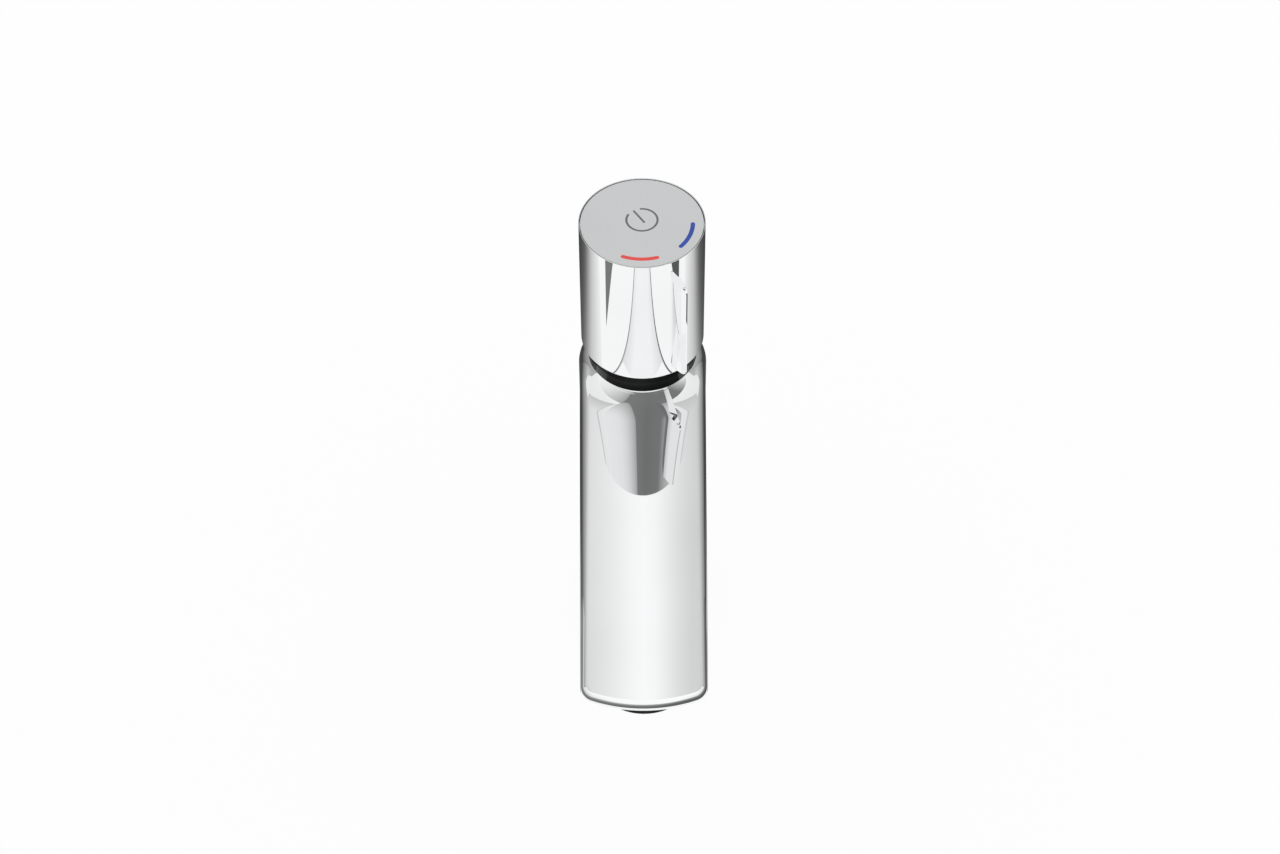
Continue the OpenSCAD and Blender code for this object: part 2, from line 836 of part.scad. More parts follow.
module grub_screw() {
  color("gray")
    rotate([0, 0, fin_azimuth])
      translate([0, flat_r + 0.02, grub_z])
        rotate([-90, 0, 0])
          difference() {
            cylinder(r = grub_r - 0.02, h = 6);
            translate([0, 0, 3.6]) cylinder(r = 0.55 * grub_r, h = over, $fn = 6);
          }
}

module spindle() {
  color("darkgoldenrod")
    difference() {
      union() {
        rod(housing_bore - 0.3, body_h - disc_top, body_h - spindle_shoulder);
        rod(spindle_r, body_h - spindle_shoulder - 1, spindle_top);
        for (i = [0 : 2])
          rotate([0, 0, fin_azimuth + 120 * i + 60])
            translate([0, -drive_y, 0])
              rod(drive_r, body_h - disc_top - 1.6, body_h - disc_top + 1);
      }
      rod(rod_r + run, body_h - disc_top - 3, cell_low + 1);
      rod(rod_groove_r, body_h - rod_groove - 0.9, body_h - rod_groove + 0.9);
      rod(cell_r, cell_low, spindle_top + 1);
      tube(spindle_r + 1, spindle_groove_r, body_h - spindle_groove - 1.2,
        body_h - spindle_groove + 1.2);
      rotate([0, 0, fin_azimuth])
        translate([-knob_r, flat_r, hub_low - 0.5]) cube(flat_cut);
    }
}

module spindle_seal() {
  color([0.1, 0.1, 0.1])
    seal_ring((spindle_r + spindle_groove_r) / 2 + 0.02, (spindle_r - spindle_groove_r) / 2,
      body_h - spindle_groove);
}

module rod_seal() {
  color([0.1, 0.1, 0.1])
    seal_ring((rod_r + rod_groove_r) / 2, (rod_groove_r - rod_r) / 2 - 0.02,
      body_h - rod_groove);
}

module moving_disc() {
  color("ivory")
    difference() {
      rod(disc_r - 0.1, body_h - disc_mid, body_h - disc_top);
      rod(rod_r + 0.4, body_h - disc_mid - 1, body_h - disc_top + 1);
      // Hollow that lets hot and cold water run to the middle
      translate([0, 0, body_h - disc_mid - 1])
        rotate([0, 0, fin_azimuth])
          linear_extrude(height = 3) {
            circle(seat_r + 0.6);
            intersection() {
              circle(disc_r - 2.3);
              polygon([[0, 0], [disc_r * tan(mix_half), disc_r],
                [-disc_r * tan(mix_half), disc_r]]);
            }
          }
      for (i = [0 : 2])
        rotate([0, 0, fin_azimuth + 120 * i + 60])
          translate([0, -drive_y, 0])
            rod(drive_r + fit, body_h - disc_top - 1.8, body_h - disc_top + 1);
    }
}

module ratchet_sleeve() {
  color("white")
    difference() {
      union() {
        rod(cell_r - 0.02, rotor_top + tooth_h + 0.2, sleeve_top);
        for (i = [0 : 3])
          sector(cell_r - 0.3, stem_r - 1, rotor_top + 0.1, rotor_top + tooth_h + 1,
            tooth_half, fin_azimuth + 45 + 90 * i);
      }
      rod(stem_r + run, rotor_top, sleeve_top + 1);
    }
}

module button_spring() {
  color("lightgray")
    coil(spring_r, spring_wire, plate_high, button_low, 4);
}

module arc_mark(azimuth, z0, z1) {
  sector(mark_r + mark_w / 2, mark_r - mark_w / 2, z0, z1, mark_span / 2, azimuth);
  for (s = [-1, 1])
    rotate([0, 0, azimuth + s * mark_span / 2])
      translate([0, -mark_r, 0]) rod(mark_w / 2 - 0.03, z0, z1);
}

module open_ring(z0, z1) {
  translate([0, power_back, 0])
    sector(power_r + power_w / 2, power_r - power_w / 2, z0, z1, half_circle - power_gap,
      fin_azimuth);
}

module bar(z0, z1) {
  translate([0, power_back, 0])
    rotate([0, 0, fin_azimuth])
      translate([-power_w / 2, -power_tail, z0])
        cube([power_w, power_r + power_tail, z1 - z0]);
}

module button_cap() {
  color("gainsboro")
    difference() {
      union() {
        lathe([[0, button_low], [button_r, button_low], [button_r, button_top - button_edge],
          [button_r - button_edge, button_top], [0, button_top]]);
        rod(boss_out, boss_low, button_low + 1);
      }
      rod(stem_r, boss_low - 1, button_low + 0.4);
      arc_mark(fin_azimuth - mark_offset, button_top - mark_depth, button_top + 1);
      arc_mark(fin_azimuth + mark_offset, button_top - mark_depth, button_top + 1);
      open_ring(button_top - mark_depth, button_top + 1);
      bar(button_top - mark_depth, button_top + 1);
    }
}

module power_ring() {
  color([0.4, 0.42, 0.43]) open_ring(button_top - mark_depth, button_top);
}

module power_bar() {
  color([0.4, 0.42, 0.43]) bar(button_top - mark_depth, button_top);
}

module red_mark() {
  color([0.85, 0.15, 0.15])
    arc_mark(fin_azimuth - mark_offset, button_top - mark_depth, button_top);
}

module blue_mark() {
  color([0.08, 0.2, 0.55])
    arc_mark(fin_azimuth + mark_offset, button_top - mark_depth, button_top);
}

module button_stem() {
  color("white")
    rod(stem_r - 0.01, stem_low, button_low + 0.38);
}

module shutoff_piston() {
  color("darkgoldenrod") {
    rod(rod_r, head_top - 1, rotor_low + 4);
    rod(rod_r + 1.2, rotor_low - 1.2, rotor_low);
    rod(valve_r - 0.6, head_low, head_top);
  }
}

module piston_seal() {
  color([0.1, 0.1, 0.1])
    tube(valve_r - 0.6, rod_r, head_top, head_top + 1.38);
}

module ratchet_rotor() {
  color("tomato")
    difference() {
      union() {
        rod(rotor_r, rotor_low, rotor_top);
        rod(stem_r - 1.4, rotor_top - 1, rotor_top + tooth_h);
        for (i = [0 : 3]) {
          rotate([0, 0, fin_azimuth + 90 * i])
            translate([-rib_half, 0.2 - cell_r, rotor_low])
              cube([2 * rib_half, 3, rotor_top - rotor_low]);
          sector(rotor_r, stem_r - 1, rotor_top - 1, rotor_top + tooth_h, tooth_half,
            fin_azimuth + 90 * i);
        }
      }
      rod(rod_r + run, rotor_low - 1, rotor_low + 4.1);
    }
}

spout_body();
inlet_block();
block_seal();
retaining_ring();
neck_ring();
clamp_nut();
limit_ring();
cartridge_housing();
cartridge_base();
base_plug();
fixed_disc();
hot_port_seal();
cold_port_seal();
chamber_seal();
valve_spring();
hot_inlet_filter();
cold_inlet_filter();
aerator_housing();
aerator_strainer();
aerator_seal();
base_gasket();
fixing_stud();
under_gasket();
clamp_plate();
fixing_nut();
handle_shell();
temperature_fin();
handle_adapter();
grub_screw();
spindle();
spindle_seal();
rod_seal();
moving_disc();
ratchet_sleeve();
button_spring();
button_cap();
power_ring();
power_bar();
red_mark();
blue_mark();
button_stem();
shutoff_piston();
piston_seal();
ratchet_rotor();
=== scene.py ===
"""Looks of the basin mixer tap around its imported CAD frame: smooth chrome shells, materials,
a pale studio and the camera of the photograph. Lengths are in metres, in the row frame."""
import json
import math

import bmesh
import bpy
from mathutils import Matrix, Vector


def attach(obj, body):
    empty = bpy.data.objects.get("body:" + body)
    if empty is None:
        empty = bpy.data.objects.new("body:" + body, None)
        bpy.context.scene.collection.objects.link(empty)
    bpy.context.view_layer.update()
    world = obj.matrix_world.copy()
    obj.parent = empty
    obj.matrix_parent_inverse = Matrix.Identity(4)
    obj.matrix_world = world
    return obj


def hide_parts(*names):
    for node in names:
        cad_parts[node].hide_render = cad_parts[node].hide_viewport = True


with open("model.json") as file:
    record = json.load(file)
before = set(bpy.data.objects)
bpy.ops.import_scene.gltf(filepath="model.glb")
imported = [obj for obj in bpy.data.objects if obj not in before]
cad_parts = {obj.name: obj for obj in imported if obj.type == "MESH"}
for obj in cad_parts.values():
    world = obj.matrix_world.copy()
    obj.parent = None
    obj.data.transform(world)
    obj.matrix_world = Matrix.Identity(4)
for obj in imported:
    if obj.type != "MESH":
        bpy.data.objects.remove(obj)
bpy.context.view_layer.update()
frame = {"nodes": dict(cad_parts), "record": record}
NODES = frame["nodes"]
MM = 0.001

# Sizes of the shells, in millimetres. Most are those of the part's source. The rim and the
# spout's top, width and tip were fitted to the photograph once more, and differ a little.

# Column: outside and rim, foot with the groove of its gasket, and bores with their lower ends
BODY_R, BODY_H, RIM_FALL, RIM_R, RIM_TURN = 21.0, 127.0, 4.82, 5.2, 68
FOOT_R, GASKET_IN, GASKET_OUT, GASKET_GROOVE, FOOT_EDGE = 17.5, 18.1, 20.1, 1.0, 0.25
NECK_GAP, NECK_SEAT, NUT_BORE, NUT_DEPTH = 0.07, 6.0, 17.05, 17.0
CHAMBER_R, CHAMBER_LOW = 16.4, 80.0

# Neck: a wide ring in the rim, a bevel, and a slimmer ring that goes up into the knob
NECK_R, NECK_HIGH, NECK_BORE, SLIM_R, NECK_EDGE = 17.65, 139.0, 15.55, 16.85, 0.2
BEVEL_LOW, BEVEL_HIGH = 130.6, 131.95

# Knob: outside, the bore of the button, and the web under it
KNOB_R, KNOB_LOW, KNOB_HIGH, KNOB_EDGE, LIP_EDGE = 20.0, 135.4, 186.59, 0.4, 0.12
CAP_BORE, CAP_SEAT, KNOB_BORE = 19.68, 180.6, 18.2
WEB_BORE, WEB_LOW, WEB_HIGH = 15.7, 157.0, 160.0

# Fin of the knob
FIN_AZIMUTH, FIN_ROOT, FIN_REACH, FIN_ROUND, FIN_EASE = math.radians(33), 18.3, 5.6, 2.0, 0.16
FIN_T, FIN_EDGE, FIN_LOW, FIN_HIGH = 3.2, 0.5, 138.4, 177.6

# Spout: its top line, its outline from above, its edges and its underside
SPOUT_REACH, SPOUT_FALL, SPOUT_EASE, SPOUT_STEP = 134.82, 0.100, 0.0001285, 2.33
ROOT_W, TIP_W, CROWN_R, ROOT_START = 41.96, 39.2, 250.0, 1.5
SIDE_ROUND, TIP_EDGE_R, TIP_ARC_R, TIP_CORNER_R = 3.5, 2.1, 42.0, 5.5
UNDER_LOW, UNDER_RISE, UNDER_EDGE, ROOT_FILLET = 90.4, 0.0817, 1.2, 24.0
HOLLOW_END, HOLLOW_BEND, HOLLOW_CURL, HOLLOW_FADE = 28.0, 0.0145, 0.0004, 35

# Aerator: its seat in the boss under the tip, tilted back
OUTLET, AERATOR_TILT = Vector((0.0, -119.2, 100.13)), math.radians(20)
BOSS_R, BOSS_LIP, PROUD, SEAT_R, SEAT_DEPTH, SEAT_HOLE = 14.2, 0.3, 3.9, 12.05, 6.5, 9.0
JET = Matrix.Translation(OUTLET) @ Matrix.Rotation(-AERATOR_TILT, 4, "X")

# Fineness of the shells. The rows round the column lie closest where the hollow bends most.
ROOT_ARCS = (17.72, 18.0, 18.3, 18.6, 19.0, 19.4, 19.8, 20.2, 20.6, 21.0, 21.5, 22.0, 22.6, 23.2,
             23.9, 24.6, 25.3, 26.0, 26.7, 27.4, 28.2, 29.2, 30.5, 32.0, 34.0, 36.5, 39.5, 43.0)
TOP_STEPS, EDGE_STEPS, CORNER_STEPS, FRONT_STEPS = 24, 12, 14, 20
SIDE_STEPS, FIRST_SIDE_STEP, BOSS_STEPS, CURVE_STEPS, FIN_STEPS = 14, 5, 128, 24, 12

# Camera, fitted to the photograph: metres, degrees, and millimetres for lens and sensor
CAMERA_PLACE, CAMERA_TURN = (0.0, -0.66976, 0.85170), (41.296, 0.2131, -0.1589)
LENS, SENSOR = 84.375, 36.0


# Materials

class Nodes:
    """A short hand for building one material's node tree."""

    def __init__(self, name):
        self.material = bpy.data.materials.new(name)
        self.material.use_nodes = True
        self.tree = self.material.node_tree
        self.tree.nodes.clear()
        self.out = self.add("ShaderNodeOutputMaterial")

    def add(self, kind, **inputs):
        """A new node. Inputs are given by name, with an underscore for each blank."""
        node = self.tree.nodes.new(kind)
        for key, value in inputs.items():
            node.inputs[key.replace("_", " ")].default_value = value
        return node

    def link(self, a, out, b, into):
        """Join an output of one node to an input of another."""
        self.tree.links.new(a.outputs[out], b.inputs[into])


def noise(n, scale, detail=3.0, rough=0.5, stretch=(1, 1, 1)):
    """Noise fixed to the object, so it stays with the piece from every side."""
    place = n.add("ShaderNodeTexCoord")
    mapping = n.add("ShaderNodeMapping", Scale=stretch)
    n.link(place, "Object", mapping, "Vector")
    tex = n.add("ShaderNodeTexNoise", Scale=scale, Detail=detail, Roughness=rough)
    n.link(mapping, "Vector", tex, "Vector")
    return tex


def spread(n, tex, low, high):
    """Noise mapped to a narrow range of numbers."""
    remap = n.add("ShaderNodeMapRange", From_Min=0.3, From_Max=0.7, To_Min=low, To_Max=high)
    n.link(tex, "Fac", remap, "Value")
    return remap


def tint(n, tex, dark, light):
    """Noise mapped between two near colours."""
    ramp = n.add("ShaderNodeValToRGB")
    ramp.color_ramp.elements[0].position = 0.35
    ramp.color_ramp.elements[1].position = 0.65
    ramp.color_ramp.elements[0].color = (*dark, 1)
    ramp.color_ramp.elements[1].color = (*light, 1)
    n.link(tex, "Fac", ramp, "Fac")
    return ramp


def surface(name, dark, light, rough, metallic=0.0, scale=40.0, bump=0.0, bump_scale=400.0,
            stretch=(1, 1, 1), ior=1.5):
    """A procedural finish: colour, roughness and fine relief that vary over the piece."""
    n = Nodes(name)
    shader = n.add("ShaderNodeBsdfPrincipled", Metallic=metallic, IOR=ior)
    slow = noise(n, scale, stretch=stretch)
    n.link(tint(n, slow, dark, light), "Color", shader, "Base Color")
    n.link(spread(n, slow, *rough), "Result", shader, "Roughness")
    if bump:
        fine = noise(n, bump_scale, detail=2.0, stretch=stretch)
        relief = n.add("ShaderNodeBump", Strength=bump, Distance=0.0001)
        n.link(fine, "Fac", relief, "Height")
        n.link(relief, "Normal", shader, "Normal")
    n.link(shader, "BSDF", n.out, "Surface")
    return n.material


def make_materials():
    """Each material slot's finish: dark and light colour, range of roughness, and the rest."""
    return {
        "chrome_brass": surface("chrome_plate", (0.905, 0.91, 0.915), (0.93, 0.935, 0.94),
                                (0.012, 0.028), metallic=1.0, scale=25),
        "gloss_black": surface("polished_black", (0.004, 0.004, 0.0045), (0.007, 0.007, 0.0075),
                               (0.05, 0.09), scale=60, ior=1.28),
        "satin_black": surface("satin_black", (0.010, 0.010, 0.010), (0.018, 0.018, 0.018),
                               (0.32, 0.42), scale=90, bump=0.2, bump_scale=900, ior=1.3),
        "dark_plastic": surface("dark_acetal", (0.05, 0.05, 0.055), (0.07, 0.07, 0.075),
                                (0.4, 0.5), bump=0.2, bump_scale=700),
        "white_plastic": surface("white_acetal", (0.80, 0.80, 0.78), (0.86, 0.86, 0.84),
                                 (0.35, 0.45), bump=0.15, bump_scale=700),
        "red_plastic": surface("red_acetal", (0.62, 0.13, 0.09), (0.70, 0.16, 0.12),
                               (0.35, 0.45), bump=0.15, bump_scale=700),
        "brass": surface("machined_brass", (0.72, 0.55, 0.28), (0.82, 0.66, 0.36),
                         (0.16, 0.30), metallic=1.0, scale=60, bump=0.3, bump_scale=300,
                         stretch=(1, 1, 9)),
        "ceramic": surface("lapped_ceramic", (0.86, 0.84, 0.78), (0.92, 0.90, 0.84),
                           (0.22, 0.3), scale=120, bump=0.1, bump_scale=1500),
        "rubber": surface("black_rubber", (0.020, 0.020, 0.020), (0.035, 0.035, 0.035),
                          (0.6, 0.75), scale=80, bump=0.35, bump_scale=600),
        "steel": surface("bright_steel", (0.58, 0.59, 0.61), (0.68, 0.69, 0.71),
                         (0.2, 0.34), metallic=1.0, scale=70, bump=0.25, bump_scale=500),
        "grey_plastic": surface("grey_acetal", (0.40, 0.42, 0.44), (0.47, 0.49, 0.51),
                                (0.4, 0.5), bump=0.15, bump_scale=700),
        "satin_cap": surface("satin_silver", (0.545, 0.555, 0.56), (0.575, 0.585, 0.59),
                             (0.36, 0.42), scale=18, bump=0.08, bump_scale=1800),
        "mark_grey": surface("grey_mark", (0.115, 0.135, 0.14), (0.14, 0.16, 0.165),
                             (0.4, 0.5), scale=200),
        "mark_red": surface("red_mark_ink", (0.76, 0.055, 0.045), (0.82, 0.07, 0.055),
                            (0.35, 0.45), scale=200),
        "mark_blue": surface("blue_mark_ink", (0.012, 0.055, 0.36), (0.018, 0.07, 0.42),
                             (0.35, 0.45), scale=200),
    }


def dress_nodes(materials):
    """Give each CAD piece the finish of its slot."""
    slots = {part["node"]: part["material_slot"] for part in frame["record"]["subparts"]}
    for name, obj in NODES.items():
        for slot in obj.material_slots:
            slot.material = materials[slots[name]]


# Shells

def new_piece(name, bm, slot, body, replaces, crease=32.0):
    """One finished piece: smooth faces, sharp creases, its finish, body and CAD node."""
    bmesh.ops.recalc_face_normals(bm, faces=bm.faces)
    mesh = bpy.data.meshes.new(name)
    bm.to_mesh(mesh)
    bm.free()
    mesh.transform(Matrix.Scale(MM, 4))
    mesh.shade_smooth()
    mesh.set_sharp_from_angle(angle=math.radians(crease))
    obj = bpy.data.objects.new(name, mesh)
    bpy.context.scene.collection.objects.link(obj)
    mesh.materials.append(materials[slot])
    weighted = obj.modifiers.new("weighted", "WEIGHTED_NORMAL")
    weighted.keep_sharp = True
    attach(obj, body)
    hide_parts(replaces)
    return obj


def arc(cx, cy, r, a0, a1, steps):
    """Points on an arc, angles in degrees."""
    return [(cx + r * math.cos(math.radians(a0 + (a1 - a0) * i / steps)),
             cy + r * math.sin(math.radians(a0 + (a1 - a0) * i / steps)))
            for i in range(steps + 1)]


def add_grid(bm, rows, closed=False):
    """Quads between rows of points."""
    made = [[bm.verts.new(p) for p in row] for row in rows]
    for a, b in zip(made, made[1:]):
        last = len(a) if closed else len(a) - 1
        for i in range(last):
            j = (i + 1) % len(a)
            bm.faces.new((a[i], a[j], b[j], b[i]))
    return made


def add_lathe(bm, outline, steps=192):
    """A closed outline of (radius, height) points, turned round the axis."""
    rows = []
    for radius, height in outline + outline[:1]:
        rows.append([(radius * math.sin(2 * math.pi * i / steps),
                      -radius * math.cos(2 * math.pi * i / steps), height)
                     for i in range(steps)])
    add_grid(bm, rows, closed=True)
    bmesh.ops.remove_doubles(bm, verts=bm.verts, dist=1e-4)


def root_blend(x, y):
    """Rise of the spout's top where it sweeps up to the rim of the column. It fades out
    towards the sides."""
    inner = max(0.0, HOLLOW_END - math.hypot(x, y))
    rise = HOLLOW_BEND * inner ** 2 + HOLLOW_CURL * inner ** 3
    azimuth = math.degrees(math.atan2(abs(x), -y))
    fade = min(max((90 - azimuth) / HOLLOW_FADE, 0.0), 1.0)
    return rise * fade * fade * (3 - 2 * fade)


def spout_top(x, y):
    """Height of the crowned, falling top of the spout."""
    out = -y - BODY_R
    fall = SPOUT_FALL * out - SPOUT_EASE * max(0.0, out) ** 2
    return BODY_H - SPOUT_STEP - fall - crown_drop(x) + root_blend(x, y)


def crown_drop(x):
    """How far the crowned top is lower at x than in the middle."""
    return CROWN_R - math.sqrt(CROWN_R ** 2 - x ** 2)


def top_point(x, y):
    """The point of the spout's top over a place."""
    return Vector((x, y, spout_top(x, y)))


def top_normal(x, y):
    """Upward normal of the crowned, falling top of the spout."""
    fall = SPOUT_FALL - 2 * SPOUT_EASE * max(0.0, -y - BODY_R)
    return Vector((x / math.sqrt(CROWN_R ** 2 - x ** 2), -fall, 1)).normalized()


def spout_outline():
    """Stations along the right half of the spout, seen from above: the point, its outward
    direction and the rounding of the edge there."""
    front = TIP_ARC_R - TIP_CORNER_R
    end_x = TIP_W / 2 - TIP_CORNER_R
    end_a = math.asin(end_x / front)
    middle = (0.0, -SPOUT_REACH + TIP_ARC_R)
    corner = (end_x, middle[1] - front * math.cos(end_a))
    side = math.atan2((ROOT_W - TIP_W) / 2, SPOUT_REACH - BODY_R - TIP_CORNER_R)
    stations = []
    for i in range(CORNER_STEPS + 1):
        a = -side + (math.pi / 2 - end_a + side) * i / CORNER_STEPS
        n = Vector((math.cos(a), -math.sin(a), 0))
        stations.append((Vector((*corner, 0)) + n * TIP_CORNER_R, n, TIP_EDGE_R))
    for i in range(1, FRONT_STEPS + 1):
        a = end_a * (1 - i / FRONT_STEPS)
        n = Vector((math.sin(a), -math.cos(a), 0))
        stations.append((Vector((*middle, 0)) + n * TIP_ARC_R, n, TIP_EDGE_R))
    return stations


def edge_ring(place, outward, rounding):
    """The point where the top meets its rounded edge, and the frame of that rounding."""
    x = place.x - outward.x * rounding
    y = place.y - outward.y * rounding
    up = top_normal(x, y)
    side = (outward - up * outward.dot(up)).normalized()
    return top_point(x, y), up, side, rounding


def side_station(tip, outward, y):
    """A station on the straight side of the spout."""
    t = y / tip.y
    root = Vector((ROOT_W / 2, 0, 0))
    return root.lerp(tip, t), outward, SIDE_ROUND + (TIP_EDGE_R - SIDE_ROUND) * t


def spout_rings():
    """Rings where the top meets its rounded edge, from the root to the middle of the tip. The
    first ones go with rows round the column, the others with rows straight across."""
    stations = spout_outline()
    tip, outward, _ = stations[0]
    reach_x = ROOT_W / 2 - SIDE_ROUND
    curved = [side_station(tip, outward, -math.sqrt(radius ** 2 - reach_x ** 2))
              for radius in ROOT_ARCS]
    straight = [side_station(tip, outward, tip.y * k / SIDE_STEPS)
                for k in range(FIRST_SIDE_STEP, SIDE_STEPS)]
    return ([edge_ring(*station) for station in curved],
            [edge_ring(*station) for station in straight + stations])


def top_rows(curved, straight):
    """Rows of points on the top of the spout, each from one edge to the other."""
    across = [i / TOP_STEPS for i in range(-TOP_STEPS, TOP_STEPS + 1)]
    rows = []
    for edge, _, _, _ in curved:
        turn = math.hypot(edge.x, edge.y)
        rows.append([top_point(f * edge.x, -math.sqrt(turn ** 2 - (f * edge.x) ** 2))
                     for f in across])
    for edge, _, _, _ in straight:
        rows.append([top_point(f * edge.x, edge.y) for f in across])
    return rows


def add_top(bm, rows):
    """The top of the spout. Its last row is one point, the middle of the front edge."""
    add_grid(bm, rows[:-1])
    point = bm.verts.new(rows[-1][TOP_STEPS])
    before = [bm.verts.new(p) for p in rows[-2]]
    for a, b in zip(before, before[1:]):
        bm.faces.new((a, b, point))


def round_edge(ring, angles):
    """Points on the rounded edge at a ring, by their angle from the top."""
    top, up, side, rounding = ring
    centre = top - up * rounding
    return [centre + (up * math.cos(a) + side * math.sin(a)) * rounding for a in angles]


def edge_strips(rings):
    """The rounded edge of the right side: its upper quarter, and how it goes on below."""
    quarter = [math.pi / 2 * i / EDGE_STEPS for i in range(EDGE_STEPS + 1)]
    below = [math.radians(90 + 10 * i) for i in range(7)]
    upper = [round_edge(ring, quarter) for ring in rings]
    lower = [round_edge(ring, below) for ring in rings]
    # Both start inside the column
    upper[0] = [Vector((p.x, -max(ROOT_START, math.sqrt(max(0.0, ROOT_ARCS[0] ** 2 - p.x ** 2))),
                        p.z)) for p in upper[0]]
    lower[0] = [Vector((p.x, upper[0][-1].y, p.z)) for p in lower[0]]
    return upper, lower


def jet_point(radius, i, height):
    """One of BOSS_STEPS points round the axis of the water jet."""
    a = 2 * math.pi * i / BOSS_STEPS
    return JET @ Vector((radius * math.cos(a), radius * math.sin(a), height))


def wall_points(lower):
    """What the lower walls are stretched over: the edge, the underside's root and the boss."""
    points = [p for row in lower for p in row]
    for out in (ROOT_START, BODY_R):
        low = UNDER_LOW + out * UNDER_RISE
        for a in [math.radians(15 * i) for i in range(7)]:
            points.append(Vector((ROOT_W / 2 - UNDER_EDGE + UNDER_EDGE * math.cos(a), -out,
                                  low + UNDER_EDGE - UNDER_EDGE * math.sin(a))))
    points += [Vector((-p.x, p.y, p.z)) for p in points]
    for i in range(BOSS_STEPS):
        for height in (PROUD, PROUD + BOSS_LIP):
            points.append(jet_point(BOSS_R, i, height))
    return points


def is_covered(face):
    """Whether a face of the hull lies under the top, inside the column or on the boss, where
    another surface takes its place."""
    faces_up, faces_back, faces_jet = 0.55, 0.9, 0.9995
    jet_down = (JET.to_3x3() @ Vector((0, 0, -1))).normalized()
    at_boss = (JET.inverted() @ face.calc_center_median()).z < PROUD + 0.1
    return (face.normal.z > faces_up or face.normal.y > faces_back
            or (face.normal.dot(jet_down) > faces_jet and at_boss))


def add_walls(bm, points):
    """The lower walls: the hull of the points, less the faces that something else covers."""
    walls = bmesh.new()
    for p in points:
        walls.verts.new(p)
    bmesh.ops.remove_doubles(walls, verts=walls.verts, dist=1e-3)
    result = bmesh.ops.convex_hull(walls, input=walls.verts)
    loose = [g for g in result["geom_interior"] + result["geom_unused"]
             if isinstance(g, bmesh.types.BMVert) and g.is_valid]
    bmesh.ops.delete(walls, geom=list(set(loose)), context="VERTS")
    walls.normal_update()
    covered = [face for face in walls.faces if is_covered(face)]
    bmesh.ops.delete(walls, geom=covered, context="FACES")
    part = bpy.data.meshes.new("walls")
    walls.to_mesh(part)
    walls.free()
    bm.from_mesh(part)
    bpy.data.meshes.remove(part)


def add_seat(bm):
    """The face of the boss and the seat of the aerator."""
    profile = ((BOSS_R, PROUD), (SEAT_R + BOSS_LIP, PROUD), (SEAT_R, PROUD + BOSS_LIP),
               (SEAT_R, PROUD + SEAT_DEPTH), (SEAT_HOLE, PROUD + SEAT_DEPTH))
    add_grid(bm, [[jet_point(radius, i, height) for i in range(BOSS_STEPS)]
                  for radius, height in profile], closed=True)


def add_spout(bm):
    """The spout: crowned top, edges rounded from the root to the tip, lower walls and the
    round boss of the aerator. Its top starts inside the rim of the column."""
    curved, straight = spout_rings()
    add_top(bm, top_rows(curved, straight))
    upper, lower = edge_strips(curved + straight)
    for flip in (1, -1):
        add_grid(bm, [[Vector((flip * p.x, p.y, p.z)) for p in row] for row in upper])
    add_walls(bm, wall_points(lower))
    add_seat(bm)


def add_root_curve(bm):
    """The hollow curve from the underside of the spout into the column. It stays just inside
    the spout's sides, and an upright strip at each side goes up behind them."""
    wall_x, inset, cover = 20.7, 0.04, 1.5
    arc_u = BODY_R + ROOT_FILLET
    under = UNDER_LOW + arc_u * UNDER_RISE
    arc_z = under - ROOT_FILLET
    rows = []
    for i in range(CURVE_STEPS + 1):
        a = math.radians(90 * i / CURVE_STEPS)
        radius = arc_u - ROOT_FILLET * math.cos(a)
        height = arc_z + ROOT_FILLET * math.sin(a)
        out = math.sqrt(max(0.0, radius ** 2 - wall_x ** 2))
        side = ROOT_W / 2 - (ROOT_W - TIP_W) / 2 * out / SPOUT_REACH - inset
        half = math.asin(min(0.999, side / radius))
        turns = [half * j / CURVE_STEPS for j in range(-CURVE_STEPS, CURVE_STEPS + 1)]
        rows.append([Vector((radius * math.sin(t), -radius * math.cos(t), height))
                     for t in turns])
    add_grid(bm, rows)
    for end in (0, -1):
        edge = [row[end] for row in rows]
        add_grid(bm, [edge, [Vector((p.x, p.y, under + cover)) for p in edge]])


def make_body_shell():
    """The column, turned from its outline, with the spout and the curve under its root."""
    bm = bmesh.new()
    shoulder, neck_bore = BODY_H - RIM_FALL, NECK_R + NECK_GAP
    # The straight wall has two more rows, which keep its shading even
    outline = [(FOOT_R, 0.0), (GASKET_IN, 0.0), (GASKET_IN, GASKET_GROOVE),
               (GASKET_OUT, GASKET_GROOVE), (GASKET_OUT, 0.0), (BODY_R - FOOT_EDGE, 0.0),
               (BODY_R, FOOT_EDGE), (BODY_R, 30.0), (BODY_R, shoulder - 0.3), (BODY_R, shoulder)]
    outline += arc(BODY_R - RIM_R, shoulder, RIM_R, 0, RIM_TURN, 20)[1:]
    outline += [(neck_bore, BODY_H - 0.1), (neck_bore, BODY_H - NECK_SEAT),
                (NUT_BORE, BODY_H - NECK_SEAT), (NUT_BORE, BODY_H - NUT_DEPTH),
                (CHAMBER_R, BODY_H - NUT_DEPTH), (CHAMBER_R, CHAMBER_LOW), (FOOT_R, CHAMBER_LOW)]
    add_lathe(bm, outline)
    add_spout(bm)
    add_root_curve(bm)
    bmesh.ops.remove_doubles(bm, verts=bm.verts, dist=2e-3)
    return new_piece("body_shell", bm, "chrome_brass", "tap_body", "spout_body")


